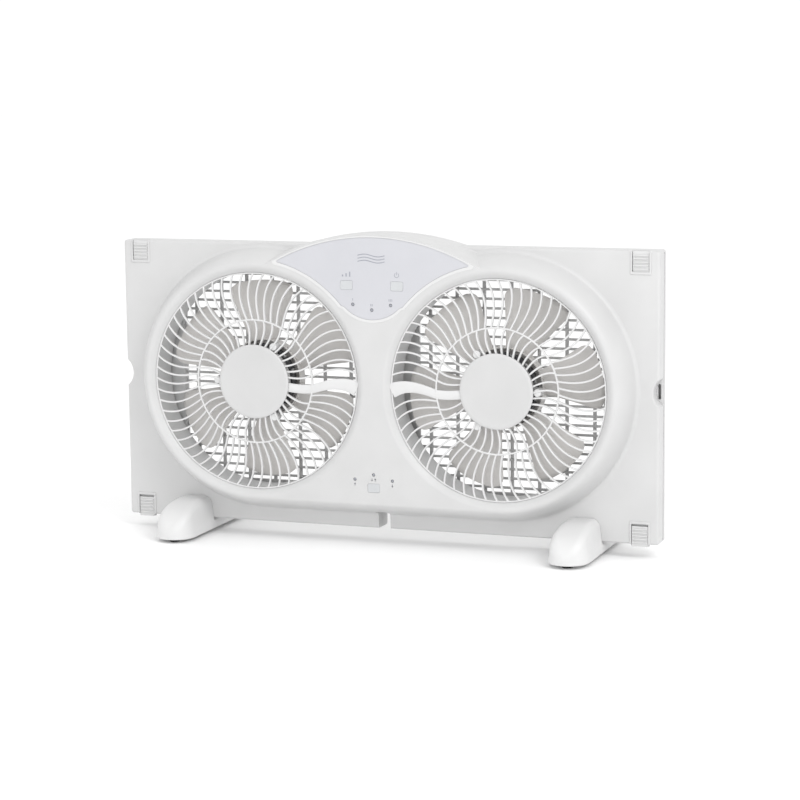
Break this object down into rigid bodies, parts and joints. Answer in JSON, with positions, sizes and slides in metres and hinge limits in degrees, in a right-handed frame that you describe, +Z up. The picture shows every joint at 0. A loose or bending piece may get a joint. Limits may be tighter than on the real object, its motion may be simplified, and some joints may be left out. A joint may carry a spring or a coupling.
{
  "type": "twin window fan",
  "caption": "Flat white twin window fan with two round swirled-rib grilles side by side, a control fascia between them, slide-out side extenders, corner window locks and two press-on feet.",
  "frame": {"origin": "on the ground under the middle of the housing, midway between the feet and midway through their length", "axes": "+Z up, +X along the width to the right seen from the front, +Y from front to back, so the grilles and controls face -Y"},
  "size_m": [0.6, 0.174, 0.3315],
  "materials": {
    "housing_white": "satin moulded ABS with a very fine grain",
    "grille_white": "satin moulded plastic",
    "blade_white": "satin moulded polypropylene",
    "extender_white": "satin",
    "lock_white": "satin",
    "foot_white": "smooth, slightly glossy",
    "fascia_grey": "smooth pale lavender grey film",
    "lamp": "unlit indicator lens",
    "rubber": "matt black",
    "steel": "zinc plated",
    "lamination": "varnished steel laminations",
    "motor_cast": "die cast",
    "bronze": "sintered bronze",
    "board": "glass fibre board with green lacquer"
  },
  "bodies": {
    "housing": {"control_fascia": "fascia_grey", "cord_gland": "rubber", "foot_left": "foot_white", "foot_pad_front_left": "rubber", "foot_pad_front_right": "rubber", "foot_pad_rear_left": "rubber", "foot_pad_rear_right": "rubber", "foot_right": "foot_white", "front_grille_left": "grille_white", "front_grille_right": "grille_white", "front_housing": "housing_white", "function_board": "board", "housing_screw_lower_left": "steel", "housing_screw_lower_right": "steel", "housing_screw_upper_left": "steel", "housing_screw_upper_right": "steel", "hub_cover_left": "grille_white", "hub_cover_right": "grille_white", "mode_lamp_left": "lamp", "mode_lamp_middle": "lamp", "mode_lamp_right": "lamp", "motor_bush_left": "bronze", "motor_bush_right": "bronze", "motor_front_cap_left": "motor_cast", "motor_front_cap_right": "motor_cast", "motor_rear_cap_left": "motor_cast", "motor_rear_cap_right": "motor_cast", "motor_screw_left_1": "steel", "motor_screw_left_2": "steel", "motor_screw_left_3": "steel", "motor_screw_right_1": "steel", "motor_screw_right_2": "steel", "motor_screw_right_3": "steel", "motor_stator_left": "lamination", "motor_stator_right": "lamination", "rear_grille_left": "grille_white", "rear_grille_right": "grille_white", "rear_housing": "housing_white", "speed_board": "board", "speed_lamp_high": "lamp", "speed_lamp_low": "lamp", "speed_lamp_medium": "lamp"},
    "fan_left": {"blade_nut_left": "blade_white", "impeller_left": "blade_white", "motor_rotor_left": "lamination", "motor_shaft_left": "steel"},
    "fan_right": {"blade_nut_right": "blade_white", "impeller_right": "blade_white", "motor_rotor_right": "lamination", "motor_shaft_right": "steel"},
    "extender_left": {"extender_left": "extender_white"},
    "extender_right": {"extender_right": "extender_white"},
    "window_lock_upper_left": {"window_lock_upper_left": "lock_white"},
    "window_lock_upper_right": {"window_lock_upper_right": "lock_white"},
    "window_lock_lower_left": {"window_lock_lower_left": "lock_white"},
    "window_lock_lower_right": {"window_lock_lower_right": "lock_white"},
    "speed_button": {"speed_button": "fascia_grey"},
    "off_button": {"off_button": "fascia_grey"},
    "function_button": {"function_button": "fascia_grey"}
  },
  "joints": [
    {"name": "fan_left_spin", "type": "hinge", "parent": "housing", "child": "fan_left", "pos_m": [-0.1354, -0.01, 0.1729], "axis": [0, 1, 0], "continuous": true},
    {"name": "fan_right_spin", "type": "hinge", "parent": "housing", "child": "fan_right", "pos_m": [0.1354, -0.01, 0.1729], "axis": [0, 1, 0], "continuous": true},
    {"name": "extender_left_slide", "type": "slide", "parent": "housing", "child": "extender_left", "axis": [-1, 0, 0], "range_m": [0, 0.046]},
    {"name": "extender_right_slide", "type": "slide", "parent": "housing", "child": "extender_right", "axis": [1, 0, 0], "range_m": [0, 0.046]},
    {"name": "window_lock_upper_left_slide", "type": "slide", "parent": "housing", "child": "window_lock_upper_left", "axis": [0, 0, 1], "range_m": [0, 0.008]},
    {"name": "window_lock_upper_right_slide", "type": "slide", "parent": "housing", "child": "window_lock_upper_right", "axis": [0, 0, 1], "range_m": [0, 0.008]},
    {"name": "window_lock_lower_left_slide", "type": "slide", "parent": "housing", "child": "window_lock_lower_left", "axis": [0, 0, -1], "range_m": [0, 0.008]},
    {"name": "window_lock_lower_right_slide", "type": "slide", "parent": "housing", "child": "window_lock_lower_right", "axis": [0, 0, -1], "range_m": [0, 0.008]},
    {"name": "speed_button_press", "type": "slide", "parent": "housing", "child": "speed_button", "axis": [0, 1, 0], "range_m": [0, 0.0012], "stiffness_N_per_m": 400},
    {"name": "off_button_press", "type": "slide", "parent": "housing", "child": "off_button", "axis": [0, 1, 0], "range_m": [0, 0.0012], "stiffness_N_per_m": 400},
    {"name": "function_button_press", "type": "slide", "parent": "housing", "child": "function_button", "axis": [0, 1, 0], "range_m": [0, 0.0012], "stiffness_N_per_m": 400}
  ]
}
